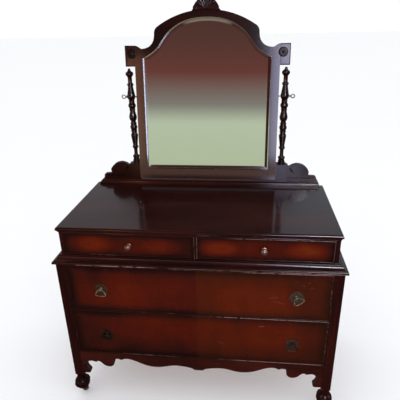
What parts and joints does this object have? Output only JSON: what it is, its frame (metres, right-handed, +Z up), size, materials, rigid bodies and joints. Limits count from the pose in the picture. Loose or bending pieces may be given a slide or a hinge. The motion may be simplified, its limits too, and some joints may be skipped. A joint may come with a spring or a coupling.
{
  "type": "dresser with mirror",
  "caption": "Chippendale-revival dresser on ball feet and casters: small drawers over long ones, and an arched bevelled mirror that tilts between turned posts.",
  "frame": {"origin": "on the floor, in the middle of the bounding box in X and Y", "axes": "+Z up; the drawers face -Y; +X is the right-hand side seen from the front"},
  "size_m": [1.198, 0.6409, 1.7229],
  "materials": {
    "mahogany": "red-brown stain under gloss lacquer, worn edges",
    "secondary_wood": "plain, unfinished",
    "brass": "aged, dulled",
    "caster_iron": "worn, greyed",
    "silvered_glass": "bevelled, silvered at the back"
  },
  "bodies": {
    "case": {"top_board": "mahogany", "frieze_rail": "mahogany", "side_panels": "mahogany", "upper_divider": "mahogany", "waist_moulding": "mahogany", "dust_boards": "secondary_wood", "drawer_guides": "secondary_wood", "back_panels": "secondary_wood", "front_leg_right": "mahogany", "front_leg_left": "mahogany", "rear_legs": "mahogany", "front_apron": "mahogany", "side_aprons": "mahogany", "mirror_base_plate": "mahogany", "scroll_brackets": "mahogany", "turned_posts": "mahogany", "mirror_uprights": "secondary_wood"},
    "small_drawer_left": {"small_drawer_left_front": "mahogany", "small_drawer_left_box": "secondary_wood", "small_drawer_left_floor": "secondary_wood", "knob_left": "brass"},
    "small_drawer_right": {"small_drawer_right_front": "mahogany", "small_drawer_right_box": "secondary_wood", "small_drawer_right_floor": "secondary_wood", "knob_right": "brass"},
    "long_drawer_upper": {"long_drawer_upper_front": "mahogany", "long_drawer_upper_box": "secondary_wood", "long_drawer_upper_floor": "secondary_wood", "pull_plates_upper": "brass"},
    "long_drawer_lower": {"long_drawer_lower_front": "mahogany", "long_drawer_lower_box": "secondary_wood", "long_drawer_lower_floor": "secondary_wood", "pull_plates_lower": "brass"},
    "pull_post_upper_left": {"pull_post_upper_left": "brass"},
    "pull_bail_upper_left": {"pull_bail_upper_left": "brass"},
    "pull_post_upper_right": {"pull_post_upper_right": "brass"},
    "pull_bail_upper_right": {"pull_bail_upper_right": "brass"},
    "pull_post_lower_left": {"pull_post_lower_left": "brass"},
    "pull_bail_lower_left": {"pull_bail_lower_left": "brass"},
    "pull_post_lower_right": {"pull_post_lower_right": "brass"},
    "pull_bail_lower_right": {"pull_bail_lower_right": "brass"},
    "mirror": {"mirror_stile_right": "mahogany", "mirror_stile_left": "mahogany", "mirror_bottom_rail": "mahogany", "mirror_crest_rail": "mahogany", "mirror_ears": "mahogany", "mirror_rosettes": "mahogany", "crest_cartouche": "mahogany", "mirror_glass": "silvered_glass", "mirror_back_board": "secondary_wood"},
    "thumb_screw_left": {"thumb_screw_left": "brass"},
    "thumb_screw_right": {"thumb_screw_right": "brass"},
    "caster_fork_front_left": {"caster_fork_front_left": "caster_iron"},
    "caster_wheel_front_left": {"caster_wheel_front_left": "caster_iron"},
    "caster_fork_front_right": {"caster_fork_front_right": "caster_iron"},
    "caster_wheel_front_right": {"caster_wheel_front_right": "caster_iron"},
    "caster_fork_rear_left": {"caster_fork_rear_left": "caster_iron"},
    "caster_wheel_rear_left": {"caster_wheel_rear_left": "caster_iron"},
    "caster_fork_rear_right": {"caster_fork_rear_right": "caster_iron"},
    "caster_wheel_rear_right": {"caster_wheel_rear_right": "caster_iron"}
  },
  "joints": [
    {"name": "small_drawer_left_slide", "type": "slide", "parent": "case", "child": "small_drawer_left", "axis": [0, -1, 0], "range_m": [0, 0.33]},
    {"name": "small_drawer_right_slide", "type": "slide", "parent": "case", "child": "small_drawer_right", "axis": [0, -1, 0], "range_m": [0, 0.33]},
    {"name": "long_drawer_upper_slide", "type": "slide", "parent": "case", "child": "long_drawer_upper", "axis": [0, -1, 0], "range_m": [0, 0.38]},
    {"name": "long_drawer_lower_slide", "type": "slide", "parent": "case", "child": "long_drawer_lower", "axis": [0, -1, 0], "range_m": [0, 0.38]},
    {"name": "pull_post_upper_left_turn", "type": "hinge", "parent": "long_drawer_upper", "child": "pull_post_upper_left", "pos_m": [-0.4, -0.30132, 0.604], "axis": [0, 1, 0], "range_deg": [-45, 45]},
    {"name": "pull_bail_upper_left_swing", "type": "hinge", "parent": "pull_post_upper_left", "child": "pull_bail_upper_left", "pos_m": [-0.4, -0.31532, 0.604], "axis": [-1, 0, 0], "range_deg": [-16, 95]},
    {"name": "pull_post_upper_right_turn", "type": "hinge", "parent": "long_drawer_upper", "child": "pull_post_upper_right", "pos_m": [0.4, -0.30132, 0.604], "axis": [0, 1, 0], "range_deg": [-7, 83]},
    {"name": "pull_bail_upper_right_swing", "type": "hinge", "parent": "pull_post_upper_right", "child": "pull_bail_upper_right", "pos_m": [0.4, -0.31532, 0.604], "axis": [-0.788, 0, -0.6157], "range_deg": [-16, 95]},
    {"name": "pull_post_lower_left_turn", "type": "hinge", "parent": "long_drawer_lower", "child": "pull_post_lower_left", "pos_m": [-0.4, -0.30132, 0.37], "axis": [0, 1, 0], "range_deg": [-45, 45]},
    {"name": "pull_bail_lower_left_swing", "type": "hinge", "parent": "pull_post_lower_left", "child": "pull_bail_lower_left", "pos_m": [-0.4, -0.31532, 0.37], "axis": [-1, 0, 0], "range_deg": [-16, 95]},
    {"name": "pull_post_lower_right_turn", "type": "hinge", "parent": "long_drawer_lower", "child": "pull_post_lower_right", "pos_m": [0.4, -0.30132, 0.37], "axis": [0, 1, 0], "range_deg": [-45, 45]},
    {"name": "pull_bail_lower_right_swing", "type": "hinge", "parent": "pull_post_lower_right", "child": "pull_bail_lower_right", "pos_m": [0.4, -0.31532, 0.37], "axis": [-1, 0, 0], "range_deg": [-16, 95]},
    {"name": "mirror_tilt", "type": "hinge", "parent": "case", "child": "mirror", "pos_m": [0, 0.25968, 1.2976], "axis": [1, 0, 0], "range_deg": [-18, 25]},
    {"name": "thumb_screw_left_turn", "type": "hinge", "parent": "case", "child": "thumb_screw_left", "pos_m": [-0.355, 0.25968, 1.2976], "axis": [1, 0, 0], "range_deg": [-180, 180]},
    {"name": "thumb_screw_right_turn", "type": "hinge", "parent": "case", "child": "thumb_screw_right", "pos_m": [0.355, 0.25968, 1.2976], "axis": [1, 0, 0], "range_deg": [-180, 180]},
    {"name": "caster_front_left_swivel", "type": "hinge", "parent": "case", "child": "caster_fork_front_left", "pos_m": [-0.561, -0.28232, 0.02], "axis": [0, 0, 1], "continuous": true},
    {"name": "caster_front_left_roll", "type": "hinge", "parent": "caster_fork_front_left", "child": "caster_wheel_front_left", "pos_m": [-0.55363, -0.27716, 0.014], "axis": [-0.5736, 0.8192, 0], "continuous": true},
    {"name": "caster_front_right_swivel", "type": "hinge", "parent": "case", "child": "caster_fork_front_right", "pos_m": [0.561, -0.28232, 0.02], "axis": [0, 0, 1], "continuous": true},
    {"name": "caster_front_right_roll", "type": "hinge", "parent": "caster_fork_front_right", "child": "caster_wheel_front_right", "pos_m": [0.5655, -0.29011, 0.014], "axis": [0.866, 0.5, 0], "continuous": true},
    {"name": "caster_rear_left_swivel", "type": "hinge", "parent": "case", "child": "caster_fork_rear_left", "pos_m": [-0.561, 0.21668, 0.02], "axis": [0, 0, 1], "continuous": true},
    {"name": "caster_rear_left_roll", "type": "hinge", "parent": "caster_fork_rear_left", "child": "caster_wheel_rear_left", "pos_m": [-0.56879, 0.22118, 0.014], "axis": [-0.5, -0.866, 0], "continuous": true},
    {"name": "caster_rear_right_swivel", "type": "hinge", "parent": "case", "child": "caster_fork_rear_right", "pos_m": [0.561, 0.21668, 0.02], "axis": [0, 0, 1], "continuous": true},
    {"name": "caster_rear_right_roll", "type": "hinge", "parent": "caster_fork_rear_right", "child": "caster_wheel_rear_right", "pos_m": [0.56946, 0.21976, 0.014], "axis": [-0.342, 0.9397, 0], "continuous": true}
  ]
}
